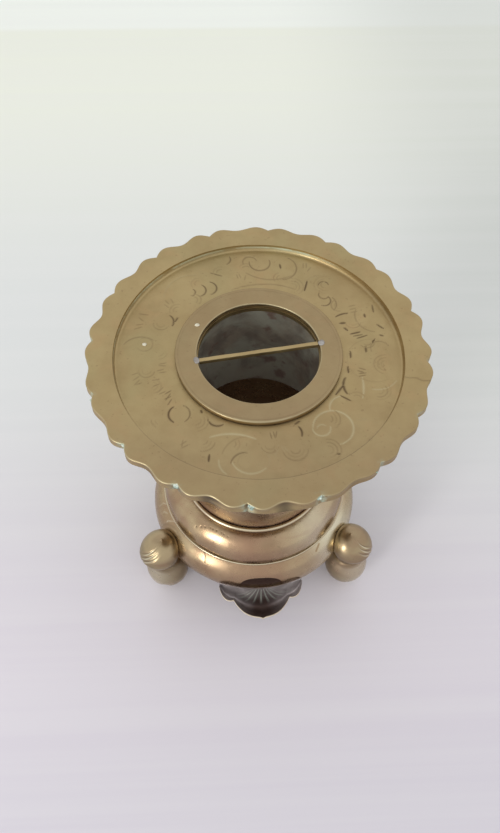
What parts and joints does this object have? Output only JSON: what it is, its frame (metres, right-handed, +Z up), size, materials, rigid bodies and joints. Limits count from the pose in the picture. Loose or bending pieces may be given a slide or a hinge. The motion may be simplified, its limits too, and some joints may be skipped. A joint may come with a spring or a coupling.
{
  "type": "incense burner",
  "caption": "Brass incense burner: scalloped tray with a barred round mouth on a tall neck, two-bulge body, shell apron under a draught door, three ball feet.",
  "frame": {"origin": "on the ground, under the middle of the tray", "axes": "+Z up the body's axis, -Y towards the draught door and shell apron, +X to the right seen from the door"},
  "size_m": [0.1098, 0.1098, 0.1244],
  "materials": {
    "tray_brass": "aged, satin, engraved",
    "body_brass": "aged, polished by handling",
    "inner_brass": "dull, sooted",
    "solder": "dull grey tin solder",
    "patina": "dark purple-grey patina with a bright rubbed rim"
  },
  "bodies": {
    "body": {"neck": "body_brass", "shoulder_bead": "body_brass", "shoulder_shell": "body_brass", "waist_bead": "body_brass", "lower_bowl": "body_brass", "base_plate": "inner_brass", "hearth_shelf": "inner_brass", "shell_apron": "patina", "foot_front_left": "body_brass", "foot_front_right": "body_brass", "foot_back": "body_brass", "rivet_front_left": "inner_brass", "rivet_front_right": "inner_brass", "rivet_back": "inner_brass"},
    "tray_top": {"scalloped_tray": "tray_brass", "mouth_collar": "tray_brass", "cross_bar": "tray_brass", "bar_solder_left": "solder", "bar_solder_right": "solder", "tray_tube": "inner_brass"},
    "grate": {"fire_grate": "inner_brass", "grate_knob": "inner_brass"}
  },
  "joints": [
    {"name": "tray_lift", "type": "slide", "parent": "body", "child": "tray_top", "axis": [0, 0, 1], "range_m": [0, 0.06]},
    {"name": "grate_lift", "type": "slide", "parent": "body", "child": "grate", "axis": [0, 0, 1], "range_m": [0, 0.07]}
  ]
}
